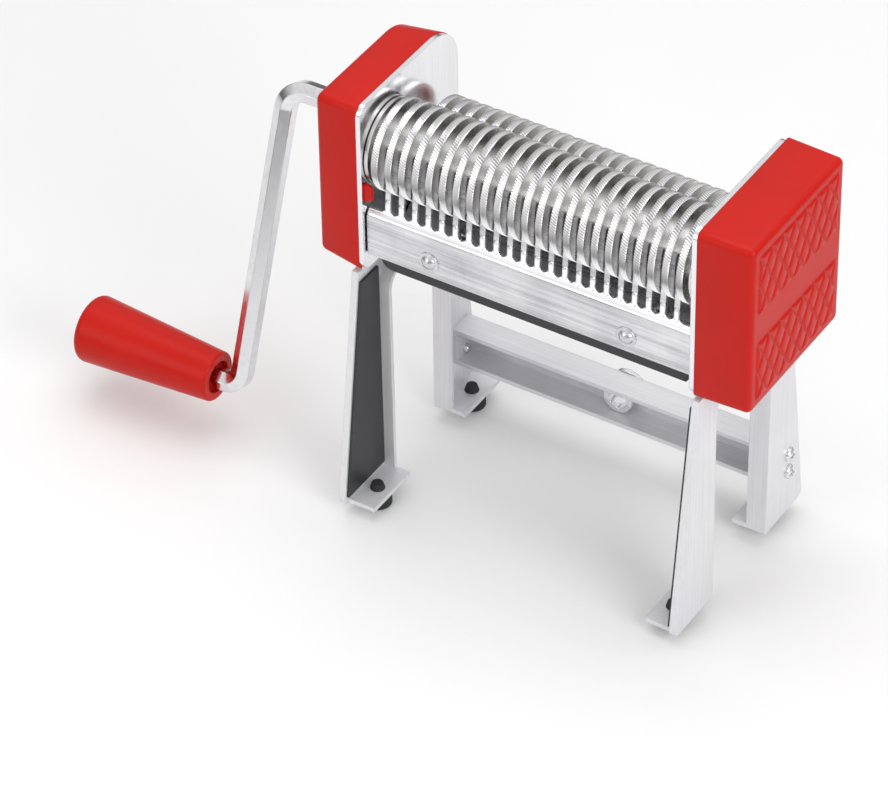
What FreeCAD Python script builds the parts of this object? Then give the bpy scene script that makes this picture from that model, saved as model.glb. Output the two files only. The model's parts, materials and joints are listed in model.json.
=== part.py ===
import FreeCAD, Part
import math
import os

# Hand-cranked pasta cutter on two leg frames, in millimetres.
# +X runs along the rollers to the right, +Y to the back, +Z up.
# The origin is the mouth of the clamp hole in the rear rail, on the middle plane of the head.

# Cutting rollers: the discs of one run in the grooves of the other
disc_count = 23
disc_width = 3.0
disc_pitch = 6.24
disc_r = 19.5
groove_r = 11.7
disc_gap = 0.3
roller_tilt = 29.0
roller_height = 53.4
roller_clear = 0.6
rear_room = 5.3
roller_end_room = 4.16
end_flange_r = 18.2
end_flange_t = 1.6
end_play = 0.4
front_journal_r = 5.0
drive_journal_r = 8.0

# Side plates
plate_t = 2.2
plate_inset = 0.3
plate_corner_r = 5.0
left_rear_r = 18.0
head_top_room = 7.6

# End caps
cap_wall = 1.6
cap_left_width = 20.4
cap_right_width = 25.0
cap_left_draft = 1.85
cap_right_draft = 0.6
cap_corner_r = 3.2
cap_edge_r = 2.4
crank_hole_gap = 1.2

# Snap tabs of the caps, through windows in the side plates
tab_depth = 2.4
tab_size = 8.6
tab_nub = 3.8
tab_root = 3.0
tab_round = 1.1
tab_gap = 0.2
tab_setback = 1.5
tab_height = 38.8
upper_tab_height = 62.0

# Bushes and retaining clips
bush_wall = 2.0
bush_flange = 2.0
bush_flange_t = 1.2
bush_out = 3.8
running_gap = 0.05
seat_gap = 0.02
clip_t = 0.9
clip_land = 2.2
clip_groove_depth = 0.9
clip_groove_play = 0.1
clip_mouth = 0.6
clip_stand_off = 0.3
journal_tail = 1.9

# Gears that turn the rollers together
gear_teeth = 32
gear_width = 8.0
gear_addendum = 0.8
gear_dedendum = 1.15
gear_pressure_angle = 20.0
gear_backlash = 0.12
gear_flat = 1.2
gear_hub_gap = 0.5

# Stripper combs
sheet_t = 1.2
finger_width = 2.4
finger_gap = 0.3
finger_tip_angle = 152.0
bend_forward = 14.5
bend_drop = 23.6
slot_rise = 2.2
crease_drop = 25.3
comb_plate_forward = 17.0
comb_plate_height = 19.5
comb_bend_r = 1.5
comb_side_gap = 0.6
chute_length = 17.5
bead_r = 1.25
bead_proud = 0.8
bead_foot_room = 1.0
bead_length = 4.6

# Carrier bars behind the combs
bar_t = 6.0
bar_below = 5.2
bar_top_room = 4.0
bar_left_step = 6.3
bar_left_round = 5.0
bar_right_step = 2.6
bar_right_round = 1.0
rear_bar_height = 12.0
rear_bar_offset = 2.0

# Rivets through comb and bar
rivet_spacing = 90.0
rivet_drop = 12.3
rivet_r = 1.6
rivet_head_r = 3.25
rivet_head_h = 1.8
rivet_ring_r = 4.5
rivet_ring_t = 0.5
rivet_tail_r = 2.8
rivet_tail_t = 1.2

# Screws
screw_r = 2.0
screw_head_r = 3.2
screw_head_h = 2.4
screw_grip = 8.0
screw_gap = 0.15

# Rear tie rod
tie_rod_r = 4.0
tie_rod_inset = 10.0
tie_rod_height = 11.0

# Leg frames
leg_t = 3.0
leg_drop = 112.0
leg_ear_inset = 1.0
leg_shoulder = 0.4
leg_proud = 0.7
leg_spread = 15.8
leg_ear_room = 1.4
leg_corner_r = 3.0
arch_top_drop = 9.0
arch_half_top = 22.2
arch_half_foot = 21.6
arch_r = 8.0
flange_width = 6.0
flange_t = 1.6
foot_tab_reach = 12.5
foot_tab_t = 2.0
leg_slot_gap = 0.3

# Dark liners on the inner faces of the front legs
liner_t = 1.2
liner_margin = 1.0
liner_top_drop = 5.0
liner_foot_room = 4.0

# Rubber feet
foot_height = 6.0
foot_r = 6.0
foot_taper = 0.7
foot_neck_r = 2.4
foot_hole_gap = 0.1
foot_bulb_r = 3.2
foot_bulb_h = 2.6

# Rear rail with its clamp bush
clamp_drop = 86.0
clamp_r = 4.5
clamp_wall = 2.2
clamp_length = 10.0
clamp_flange = 2.2
clamp_flange_t = 2.0
rail_height = 18.0
rail_depth = 13.5
rail_t = 2.0
rail_edge = 1.4
rail_bend_r = 1.8
rail_screw_spacing = 9.0

# Crank and grip
hex_flats = 8.3
hex_gap = 0.1
socket_depth = 22.0
socket_tip_room = 1.0
drive_journal_out = 11.5
crank_throw = 133.8
crank_hang = 19.5
crank_standoff = 42.6
crank_bend_r = 9.5
crank_foot_bend_r = 7.0
grip_length = 66.0
grip_small_r = 10.9
grip_large_r = 14.9
grip_setback = 11.1
grip_dome = 2.2
grip_edge_r = 1.2
grip_end_r = 3.0
grip_mouth_r = 7.2
grip_mouth_depth = 3.0
grip_pin_r = 3.8
grip_pin_end_room = 9.0
grip_pin_tip_room = 0.4
grip_ring_room = 0.4
hex_stub_room = 1.5

# Sizes that follow from those above
tilt = math.radians(roller_tilt)
roller_spacing = disc_r + groove_r + disc_gap
gear_module = roller_spacing / gear_teeth
gear_pitch_r = roller_spacing / 2
gear_tip_r = gear_pitch_r + gear_addendum * gear_module
gear_root_r = gear_pitch_r - gear_dedendum * gear_module
disc_span = (disc_count - 1) * disc_pitch + disc_width
inner_half = disc_span / 2 + roller_end_room
outer_half = inner_half + plate_t
roller_half = inner_half - end_play
front_axis_depth = roller_clear + disc_r
rear_axis_depth = front_axis_depth + roller_spacing * math.cos(tilt)
head_depth = rear_axis_depth + disc_r + rear_room
head_height = roller_height + disc_r + head_top_room
leg_half_ear = head_depth / 2 - cap_wall - leg_ear_inset
leg_half_shoulder = head_depth / 2 + leg_proud
leg_half_foot = head_depth / 2 + leg_spread
finger_mid_r = groove_r + finger_gap + sheet_t / 2
hex_r = hex_flats / math.sqrt(3)
socket_r = (hex_flats + 2 * hex_gap) / math.sqrt(3)


def leg_half_at(drop):
    """Half width of a leg frame's outer edge at a depth below the head."""
    share = (drop - leg_shoulder) / (leg_drop - leg_shoulder)
    return leg_half_shoulder + (leg_half_foot - leg_half_shoulder) * share


def arch_half_at(drop):
    """Half width of the arch between the two legs at a depth below the head."""
    share = (drop - arch_top_drop) / (leg_drop - arch_top_drop)
    return arch_half_top + (arch_half_foot - arch_half_top) * share


# Places in the part's frame
rail_half = leg_half_at(clamp_drop - rail_height / 2) - rail_edge
head_mid_y = -(rail_half + clamp_flange_t)
head_front_y = head_mid_y - head_depth / 2
head_floor_z = clamp_drop
head_top_z = head_floor_z + head_height
bench_z = head_floor_z - leg_drop - foot_height
front_axis = FreeCAD.Vector(0, head_front_y + front_axis_depth, head_floor_z + roller_height)
axis_line = FreeCAD.Vector(0, math.cos(tilt), -math.sin(tilt))
rear_axis = front_axis + axis_line * roller_spacing
nip = (front_axis + rear_axis) * 0.5
X_AXIS = FreeCAD.Vector(1, 0, 0)
Y_AXIS = FreeCAD.Vector(0, 1, 0)
Z_AXIS = FreeCAD.Vector(0, 0, 1)


def vec(x, y, z):
    return FreeCAD.Vector(x, y, z)


def in_head(depth, height):
    """Point of the middle plane, by its depth behind the caps' front and height above their floor."""
    return vec(0, head_front_y + depth, head_floor_z + height)


def at_x(point, x):
    return vec(x, point.y, point.z)


def rounded_wire(corners, radii):
    """Closed wire through the corners, with each corner rounded by its radius."""
    starts = []
    ends = []
    mids = []
    for index, corner in enumerate(corners):
        to_last = (corners[index - 1] - corner).normalize()
        to_next = (corners[(index + 1) % len(corners)] - corner).normalize()
        half = to_last.getAngle(to_next) / 2
        trim = radii[index] / math.tan(half)
        middle = (to_last + to_next).normalize()
        starts.append(corner + to_last * trim)
        ends.append(corner + to_next * trim)
        mids.append(corner + middle * (radii[index] / math.sin(half) - radii[index]))
    edges = []
    for index in range(len(corners)):
        if radii[index] > 0:
            edges.append(Part.Arc(starts[index], mids[index], ends[index]).toShape())
        following = (index + 1) % len(corners)
        edges.append(Part.LineSegment(ends[index], starts[following]).toShape())
    return Part.Wire(edges)


def polygon(corners):
    return Part.Face(Part.makePolygon(corners + corners[:1]))


def along_x(face_wire, x0, x1):
    """Solid between two X planes from a closed wire drawn at X = 0."""
    solid = Part.Face(face_wire).extrude(vec(x1 - x0, 0, 0))
    solid.translate(vec(x0, 0, 0))
    return solid


def rod_x(r, x0, x1, centre):
    return Part.makeCylinder(r, x1 - x0, at_x(centre, x0), X_AXIS)


def turned(profile, base, direction, radial):
    """Solid of revolution about a line through the base, from (length, radius) points."""
    points = [base + direction * length + radial * r for length, r in profile]
    return polygon(points).revolve(base, direction, 360)


def turned_x(profile, centre):
    return turned(profile, at_x(centre, 0), X_AXIS, Z_AXIS)


def mirrored(shape):
    return shape.mirror(vec(0, 0, 0), X_AXIS)


def block(x0, x1, y0, y1, z0, z1):
    return Part.makeBox(x1 - x0, y1 - y0, z1 - z0, vec(x0, y0, z0))


def hexagon_x(r, centre, turn):
    """Hexagon wire in the YZ plane at the centre's X, with a corner at the turn angle."""
    corners = []
    for step in range(6):
        angle = turn + step * math.pi / 3
        corners.append(centre + vec(0, r * math.cos(angle), r * math.sin(angle)))
    return Part.makePolygon(corners + corners[:1])


# Screw places, shared by the leg frames, the side plates and what the screws hold
front_bar_front = front_axis.y - comb_plate_forward + sheet_t / 2
front_bar_bottom = front_axis.z - crease_drop - comb_plate_height - bar_below
front_bar_top = front_axis.z - crease_drop - bar_top_room
front_bar_step = front_bar_bottom + bar_below
front_bar_screw = vec(0, front_bar_front + bar_t / 2, (front_bar_step + front_bar_top) / 2)
comb_bend = front_axis - Y_AXIS * bend_forward - Z_AXIS * bend_drop
to_axis = front_axis - comb_bend
tangent_length = math.sqrt(to_axis.Length ** 2 - finger_mid_r ** 2)
tangent_angle = math.atan2(to_axis.z, to_axis.y) + math.asin(finger_mid_r / to_axis.Length)
finger_up = vec(0, math.cos(tangent_angle), math.sin(tangent_angle))
finger_out = vec(0, -math.sin(tangent_angle), math.cos(tangent_angle))
finger_start = comb_bend + finger_up * tangent_length
slot_end = comb_bend + finger_up * slot_rise
slot_half = (disc_pitch - finger_width) / 2
chute_end = slot_end - finger_up * chute_length
rear_bar_middle = slot_end - finger_up * (rear_bar_offset + rear_bar_height / 2)
rear_bar_screw_front = rear_bar_middle + finger_out * (sheet_t / 2 + bar_t / 2)


def behind(point):
    """Place of a point after mirroring in the plane between the two rollers."""
    return point - axis_line * (2 * (point - nip).dot(axis_line))


tie_rod_axis = in_head(head_depth - tie_rod_inset, tie_rod_height)
frame_screw_places = [front_bar_screw, behind(rear_bar_screw_front), tie_rod_axis]
rail_screw_y = -clamp_flange_t - rail_depth / 2
rail_screw_places = [vec(0, rail_screw_y, side * rail_screw_spacing / 2) for side in (-1, 1)]


def head_outline(inset, corner_r, rear_top_r):
    """Side outline of the head, drawn in by the inset."""
    front = head_front_y + inset
    back = head_front_y + head_depth - inset
    floor = head_floor_z + inset
    top = head_top_z - inset
    corners = [vec(0, front, floor), vec(0, back, floor), vec(0, back, top), vec(0, front, top)]
    return rounded_wire(corners, [corner_r, corner_r, rear_top_r, corner_r])


def cap_form(width, draft, inset, corner_r, rear_top_r):
    """Tapered block on the outer face of the right side plate."""
    base = head_outline(inset, corner_r, rear_top_r)
    base.translate(vec(outer_half, 0, 0))
    end = head_outline(inset + draft, corner_r, rear_top_r)
    end.translate(vec(outer_half + width, 0, 0))
    return Part.makeLoft([base, end], True, True)


rear_tab_depth = head_depth - tab_setback - tab_depth
left_tabs = [(tab_setback, tab_height), (rear_tab_depth, tab_height)]
right_tabs = [(rear_tab_depth, tab_height), (rear_tab_depth, upper_tab_height)]


def tab_block(x0, x1, depth, height, fore, aft, gap):
    """Block at a snap tab, drawn out to the front and the back and grown by the gap."""
    low = in_head(depth - fore - gap, height - tab_size / 2 - gap)
    high = in_head(depth + tab_depth + aft + gap, height + tab_size / 2 + gap)
    return block(x0, x1, low.y, high.y, low.z, high.z)


def tab_window(depth, height):
    return tab_block(inner_half - 1, outer_half + 1, depth, height, 0, 0, tab_gap)


def edges_at_x(solid, x):
    """Edges that lie in one X plane."""
    return [edge for edge in solid.Edges if all(abs(v.X - x) < seat_gap for v in edge.Vertexes)]


def snap_tab(depth, height):
    """Rounded tongue through the side plate, on a root that joins it to the nearer wall of the cap."""
    tongue = tab_block(inner_half - tab_nub, outer_half + tab_root, depth, height, 0, 0, 0)
    tongue = tongue.makeFillet(tab_round, edges_at_x(tongue, inner_half - tab_nub))
    to_wall = tab_setback - cap_wall / 2
    fore, aft = (to_wall, 0) if depth < head_depth / 2 else (0, to_wall)
    root = tab_block(outer_half + tab_gap, outer_half + tab_root, depth, height, fore, aft, 0)
    return tongue.fuse(root)


def end_cap(width, draft, rear_top_r, tabs):
    """Moulded shell, open towards the side plate, with two snap tabs and room for the leg frame."""
    outside = cap_form(width, draft, 0, cap_corner_r, rear_top_r)
    outside = outside.makeFillet(cap_edge_r, edges_at_x(outside, outer_half + width))
    hollow_draft = draft * (width - cap_wall) / width
    hollow = cap_form(width - cap_wall, hollow_draft, cap_wall, cap_corner_r - cap_wall,
                      rear_top_r - cap_wall)
    ear_half = leg_half_ear + leg_slot_gap
    leg_slot = block(outer_half - 1, outer_half + leg_t + leg_slot_gap, head_mid_y - ear_half,
                     head_mid_y + ear_half, head_floor_z - 1, head_floor_z + 2 * cap_wall)
    shell = outside.cut([hollow, leg_slot])
    return shell.multiFuse([snap_tab(depth, height) for depth, height in tabs]).removeSplitter()


def end_cap_right():
    return end_cap(cap_right_width, cap_right_draft, cap_corner_r, right_tabs)


def end_cap_left():
    cap = mirrored(end_cap(cap_left_width, cap_left_draft, left_rear_r, left_tabs))
    hole_r = hex_r + crank_hole_gap
    return cap.cut(rod_x(hole_r, -outer_half - 2 * cap_left_width, -outer_half, rear_axis))


def bush_r(journal_r):
    return journal_r + running_gap + bush_wall


def side_plate(rear_top_r, rear_journal_r, tabs):
    """Right-hand side plate with its bush holes, screw holes and tab windows."""
    plate = along_x(head_outline(plate_inset, plate_corner_r, rear_top_r), inner_half, outer_half)
    cuts = []
    for journal_r, axis in ((front_journal_r, front_axis), (rear_journal_r, rear_axis)):
        cuts.append(rod_x(bush_r(journal_r) + seat_gap, inner_half - 1, outer_half + 1, axis))
    for place in frame_screw_places:
        cuts.append(rod_x(screw_r + screw_gap, inner_half - 1, outer_half + 1, place))
    cuts += [tab_window(depth, height) for depth, height in tabs]
    return plate.cut(cuts)


def bush(journal_r, axis):
    """Flanged bush in the right side plate, with its flange against the plate's outer face."""
    bore = journal_r + running_gap
    body = bush_r(journal_r)
    profile = [(inner_half, bore), (outer_half + bush_out, bore), (outer_half + bush_out, body)]
    profile += [(outer_half + bush_flange_t, body), (outer_half + bush_flange_t, body + bush_flange)]
    profile += [(outer_half, body + bush_flange), (outer_half, body), (inner_half, body)]
    return turned_x(profile, axis)


def clip_groove(journal_r, x0):
    """Profile points of a clip groove that starts at x0, in the direction of +X."""
    bottom = journal_r - clip_groove_depth
    x1 = x0 + clip_t + 2 * clip_groove_play
    return [(x0, journal_r), (x0, bottom), (x1, bottom), (x1, journal_r)]


def clip(journal_r, groove_x, axis):
    """Open spring ring in a journal's groove."""
    inside = journal_r - clip_groove_depth + running_gap
    start = groove_x + clip_groove_play
    ring = rod_x(journal_r + clip_land, start, start + clip_t, axis)
    hole = rod_x(inside, start - 1, start + clip_t + 1, axis)
    mouth_half = inside * clip_mouth
    mouth = block(start - 1, start + clip_t + 1, axis.y - mouth_half, axis.y + mouth_half,
                  axis.z - 2 * journal_r, axis.z)
    return ring.cut([hole, mouth])


bush_end = outer_half + bush_out
bush_clip_x = bush_end + clip_stand_off
gear_start = bush_end + gear_hub_gap
gear_end = gear_start + gear_width
gear_clip_x = gear_end + clip_stand_off
gear_shaft_end = gear_clip_x + clip_t + 2 * clip_groove_play + journal_tail
plain_shaft_end = bush_clip_x + clip_t + 2 * clip_groove_play + journal_tail
drive_shaft_end = outer_half + drive_journal_out


def mirror_profile(profile):
    """The same half profile on the -X side, in the order that continues from left to right."""
    return [(-x, r) for x, r in reversed(profile)]


def gear_side_profile():
    """Journal that carries the gear, from the roller's end to the right."""
    profile = [(roller_half, front_journal_r)]
    profile += clip_groove(front_journal_r, gear_clip_x)
    return profile + [(gear_shaft_end, front_journal_r), (gear_shaft_end, 0)]


def disc_profile(centres):
    """Rims and groove floors of a row of discs."""
    profile = []
    for centre in centres:
        left = centre - disc_width / 2
        right = centre + disc_width / 2
        profile += [(left, groove_r), (left, disc_r), (right, disc_r), (right, groove_r)]
    return profile


def shaft_flat(axis):
    """Block that takes the flat off the gear journal."""
    level = axis.z + front_journal_r - gear_flat
    return block(gear_start - gear_hub_gap / 2, gear_shaft_end + 1, axis.y - disc_r, axis.y + disc_r,
                 level, level + disc_r)


front_discs = [(step - (disc_count - 1) / 2) * disc_pitch for step in range(disc_count)]
rear_discs = [(step - (disc_count - 2) / 2) * disc_pitch for step in range(disc_count - 1)]


def front_roller():
    flange_in = roller_half - end_flange_t
    right_end = [(flange_in, groove_r), (flange_in, end_flange_r), (roller_half, end_flange_r)]
    left_journal = [(roller_half, front_journal_r)] + clip_groove(front_journal_r, bush_clip_x)
    left_journal += [(plain_shaft_end, front_journal_r), (plain_shaft_end, 0)]
    profile = mirror_profile(left_journal) + mirror_profile(right_end)
    profile += disc_profile(front_discs) + right_end + gear_side_profile()
    return turned_x(profile, front_axis).cut(shaft_flat(front_axis))


def rear_roller():
    """Driven roller, with the hexagon socket for the crank in its left journal."""
    left_journal = [(roller_half, groove_r), (roller_half, drive_journal_r)]
    left_journal += clip_groove(drive_journal_r, bush_clip_x)
    left_journal += [(drive_shaft_end, drive_journal_r), (drive_shaft_end, 0)]
    profile = mirror_profile(left_journal) + disc_profile(rear_discs)
    profile += [(roller_half, groove_r)] + gear_side_profile()
    mouth = hexagon_x(socket_r, at_x(rear_axis, -drive_shaft_end), hex_turn)
    socket = Part.Face(mouth).extrude(vec(socket_depth, 0, 0))
    return turned_x(profile, rear_axis).cut([shaft_flat(rear_axis), socket])


def involute_half_angle(r):
    """Half of a tooth's angle at a radius."""
    base_r = gear_pitch_r * math.cos(math.radians(gear_pressure_angle))

    def involute(radius):
        angle = math.acos(min(1, base_r / radius))
        return math.tan(angle) - angle

    at_pitch = math.pi / (2 * gear_teeth) - gear_backlash / (2 * gear_pitch_r)
    return at_pitch + involute(gear_pitch_r) - involute(max(r, base_r))


def gear(axis, facing, tooth_shift):
    """Spur gear on a roller's right journal; tooth_shift is in tooth pitches from the facing angle."""
    def point(r, angle):
        return axis + vec(0, r * math.cos(angle), r * math.sin(angle))

    pitch_angle = 2 * math.pi / gear_teeth
    radii = [gear_root_r, gear_pitch_r, gear_tip_r]
    halves = [involute_half_angle(r) for r in radii]
    edges = []
    for tooth in range(gear_teeth):
        middle = facing + (tooth + tooth_shift) * pitch_angle
        rising = [point(r, middle - half) for r, half in zip(radii, halves)]
        falling = [point(r, middle + half) for r, half in zip(radii, halves)]
        next_root = point(gear_root_r, middle + pitch_angle - halves[0])
        edges.append(Part.Arc(*rising).toShape())
        edges.append(Part.LineSegment(rising[2], falling[2]).toShape())
        edges.append(Part.Arc(falling[2], falling[1], falling[0]).toShape())
        edges.append(Part.LineSegment(falling[0], next_root).toShape())
    blank = along_x(Part.Wire(edges), gear_start, gear_end)
    bore = rod_x(front_journal_r + seat_gap, gear_start - 1, gear_end + 1, axis)
    level = axis.z + front_journal_r - gear_flat + seat_gap
    flat = block(gear_start - 2, gear_end + 2, axis.y - disc_r, axis.y + disc_r, level, level + disc_r)
    return blank.cut(bore.cut(flat))


def strip_wire(points, thickness):
    """Closed outline of a bent sheet whose middle line runs through the points of the YZ plane."""
    last = len(points) - 1
    directions = [(points[i + 1] - points[i]).normalize() for i in range(last)]
    normals = [vec(0, -d.z, d.y) for d in directions]
    left = []
    right = []
    left_r = []
    right_r = []
    for index, point in enumerate(points):
        before = normals[max(index - 1, 0)]
        after = normals[min(index, last - 1)]
        miter = (before + after) * (thickness / 2 / (1 + before.dot(after)))
        turn = before.cross(after).x
        left.append(point + miter)
        right.append(point - miter)
        inner = comb_bend_r if index in range(1, last) else 0
        outer = comb_bend_r + thickness if index in range(1, last) else 0
        left_r.append(inner if turn > 0 else outer)
        right_r.append(outer if turn > 0 else inner)
    return rounded_wire(left + right[::-1], left_r + right_r[::-1])


def finger_arc():
    """Face of the curved end of a comb's fingers, in the groove of the front roller."""
    start = math.atan2((finger_start - front_axis).z, (finger_start - front_axis).y) % (2 * math.pi)
    stop = math.radians(finger_tip_angle)
    angles = [start, (start + stop) / 2, stop]

    def arc_points(r):
        return [front_axis + vec(0, r * math.cos(a), r * math.sin(a)) for a in angles]

    inner = arc_points(finger_mid_r - sheet_t / 2)
    outer = arc_points(finger_mid_r + sheet_t / 2)
    edges = [Part.Arc(*inner).toShape(), Part.LineSegment(inner[2], outer[2]).toShape()]
    edges += [Part.Arc(*outer[::-1]).toShape(), Part.LineSegment(outer[0], inner[0]).toShape()]
    return Part.Wire(edges)


def comb(path, discs, open_from, rivets):
    """Comb for the front roller: sheet along the path, then fingers between the given discs."""
    half = inner_half - comb_side_gap
    sheet = along_x(strip_wire(path + [finger_start], sheet_t), -half, half)
    solid = sheet.fuse(along_x(finger_arc(), -half, half)).removeSplitter()
    top = front_axis.z + disc_r
    front = front_axis.y - 2 * disc_r
    back = front_axis.y
    cuts = []
    for centre in discs:
        cuts.append(block(centre - slot_half, centre + slot_half, front, back, slot_end.z, top))
        foot = vec(centre, front, slot_end.z)
        cuts.append(Part.makeCylinder(slot_half, back - front, foot, Y_AXIS))
    side = block(open_from, half + 1, front, back, slot_end.z - slot_half, top)
    cuts += [side, mirrored(side)]
    for base, direction in rivets:
        hole_start = base - direction * bar_t
        cuts.append(Part.makeCylinder(rivet_r + seat_gap, 3 * bar_t, hole_start, direction))
    return solid.cut(cuts)


crease = front_axis - Y_AXIS * comb_plate_forward - Z_AXIS * crease_drop
plate_foot = crease - Z_AXIS * comb_plate_height
rivet_xs = (-rivet_spacing / 2, rivet_spacing / 2)
front_rivet_base = crease - Y_AXIS * (sheet_t / 2) - Z_AXIS * rivet_drop
rear_rivet_base = rear_bar_middle - finger_out * (sheet_t / 2)
front_rivet_places = [(at_x(front_rivet_base, x), Y_AXIS) for x in rivet_xs]
rear_rivet_places = [(at_x(rear_rivet_base, x), finger_out) for x in rivet_xs]


def to_rear(shape):
    """Mirror a piece of the front roller's side in the plane between the rollers."""
    return shape.mirror(nip, axis_line)


def finger_beads():
    """Pressed beads at the roots of the front comb's fingers, on the outer side of its sheet."""
    foot = comb_bend + finger_up * bead_foot_room
    head = foot + finger_up * bead_length
    reach = finger_up * (2 * bead_r)
    corners = [foot - reach, head + reach]
    corners += [corner + finger_out * (2 * bead_r) for corner in reversed(corners)]
    axis_shift = finger_out * (sheet_t / 2 + bead_proud - bead_r)
    beads = []
    for centre in rear_discs:
        low = at_x(foot + axis_shift, centre)
        high = at_x(head + axis_shift, centre)
        stem = Part.makeCylinder(bead_r, (high - low).Length, low, finger_up)
        bead = stem.multiFuse([Part.makeSphere(bead_r, low), Part.makeSphere(bead_r, high)])
        outer = along_x(Part.makePolygon(corners + corners[:1]), centre - disc_pitch, centre + disc_pitch)
        beads.append(bead.common(outer))
    return beads


def front_comb():
    sheet = comb([plate_foot, crease, comb_bend], front_discs, front_discs[-1], front_rivet_places)
    return sheet.multiFuse(finger_beads()).removeSplitter()


def rear_comb():
    """Comb of the rear roller; its straight sheet is the chute."""
    open_from = rear_discs[-1] + (disc_pitch + finger_width) / 2
    return to_rear(comb([chute_end], rear_discs, open_from, rear_rivet_places))


def tapped_hole(place):
    """Screw holes in both ends of a bar or rod that spans the side plates."""
    deep = inner_half - screw_grip - 1
    hole = rod_x(screw_r + seat_gap, deep, inner_half + 1, place)
    return [hole, mirrored(hole)]


def rivet_holes(places):
    holes = []
    for base, direction in places:
        holes.append(Part.makeCylinder(rivet_r + seat_gap, 2 * bar_t, base, direction))
    return holes


def front_bar():
    """Dark bar behind the front comb, whose lower edge is shorter and rounded at its ends."""
    def end(side, step):
        corners = [(inner_half, front_bar_top), (inner_half, front_bar_step)]
        corners += [(inner_half - step, front_bar_step), (inner_half - step, front_bar_bottom)]
        return [vec(side * x, front_bar_front, z) for x, z in corners]

    outline = end(-1, bar_left_step) + end(1, bar_right_step)[::-1]
    radii = [0, 0, 0, bar_left_round, bar_right_round, 0, 0, 0]
    bar = Part.Face(rounded_wire(outline, radii)).extrude(Y_AXIS * bar_t)
    return bar.cut(tapped_hole(front_bar_screw) + rivet_holes(front_rivet_places))


def rear_bar():
    """Dark bar below the rear comb's chute."""
    upper = slot_end - finger_up * rear_bar_offset + finger_out * (sheet_t / 2)
    lower = upper - finger_up * rear_bar_height
    corners = [upper, lower, lower + finger_out * bar_t, upper + finger_out * bar_t]
    bar = along_x(Part.makePolygon(corners + corners[:1]), -inner_half, inner_half)
    holes = tapped_hole(rear_bar_screw_front) + rivet_holes(rear_rivet_places)
    return to_rear(bar.cut(holes))


def rivet(base, direction):
    """Round-headed rivet with a raised ring under its head, from the sheet's face into the bar."""
    grip = sheet_t + bar_t
    crown = -rivet_ring_t - rivet_head_h
    dome_r = (rivet_head_r ** 2 + rivet_head_h ** 2) / (2 * rivet_head_h)
    half_r = rivet_head_r / 2
    half_way = crown + dome_r - math.sqrt(dome_r ** 2 - half_r ** 2)
    profile = [(-rivet_ring_t, rivet_head_r), (-rivet_ring_t, rivet_ring_r), (0, rivet_ring_r), (0, rivet_r)]
    profile += [(grip, rivet_r), (grip, rivet_tail_r), (grip + rivet_tail_t, rivet_r)]
    profile += [(grip + rivet_tail_t, 0), (crown, 0)]
    points = [base + direction * length + X_AXIS * r for length, r in profile]
    middle = base + direction * half_way + X_AXIS * half_r
    dome = Part.Arc(points[-1], middle, points[0]).toShape()
    outline = Part.Wire(Part.makePolygon(points).Edges + [dome])
    return Part.Face(outline).revolve(base, direction, 360)


def front_rivets():
    return [rivet(base, direction) for base, direction in front_rivet_places]


def rear_rivets():
    return [to_rear(rivet(base, direction)) for base, direction in rear_rivet_places]


def screw(place, under_head, tip):
    """Round-headed screw on the right side, from its seat inwards to the tip's X."""
    top = under_head + screw_head_h
    profile = [(tip, 0), (tip, screw_r), (under_head, screw_r), (under_head, screw_head_r)]
    profile += [(top - screw_head_h / 2, screw_head_r), (top, screw_r), (top, 0)]
    return turned_x(profile, place)


def both_sides(solids):
    return solids + [mirrored(solid) for solid in solids]


def frame_screws():
    seat = outer_half + leg_t
    return both_sides([screw(place, seat, inner_half - screw_grip) for place in frame_screw_places])


def rail_screws():
    seat = outer_half + leg_t
    tip = outer_half - 2 * rail_t
    return both_sides([screw(place, seat, tip) for place in rail_screw_places])


def tie_rod():
    return rod_x(tie_rod_r, -inner_half, inner_half, tie_rod_axis).cut(tapped_hole(tie_rod_axis))


def leg_outline():
    """Side outline of a leg frame: ear behind the cap, two splayed legs and the arch between them."""
    floor = head_floor_z
    ear_top = rear_axis.z - bush_r(drive_journal_r) - bush_flange - leg_ear_room
    half = [(leg_half_ear, ear_top, leg_corner_r), (leg_half_ear, floor - leg_shoulder, 0)]
    half += [(leg_half_shoulder, floor - leg_shoulder, 0)]
    half += [(leg_half_foot, floor - leg_drop, leg_corner_r), (arch_half_foot, floor - leg_drop, 0)]
    half += [(arch_half_top, floor - arch_top_drop, arch_r)]
    corners = [vec(0, head_mid_y - y, z) for y, z, r in half]
    corners += [vec(0, head_mid_y + y, z) for y, z, r in reversed(half)]
    radii = [r for y, z, r in half]
    return rounded_wire(corners, radii + radii[::-1])


def arch_outline(grow, foot_z):
    top = head_floor_z - arch_top_drop + grow
    foot_half = arch_half_foot + grow
    top_half = arch_half_top + grow
    corners = [vec(0, head_mid_y - foot_half, foot_z), vec(0, head_mid_y - top_half, top)]
    corners += [vec(0, head_mid_y + top_half, top), vec(0, head_mid_y + foot_half, foot_z)]
    return rounded_wire(corners, [0, arch_r + grow, arch_r + grow, 0])


def foot_places():
    """Middle of the two foot tabs on the right side."""
    reach = (leg_half_foot + arch_half_foot) / 2
    x = outer_half - foot_tab_reach / 2
    return [vec(x, head_mid_y + side * reach, bench_z + foot_height) for side in (-1, 1)]


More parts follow.
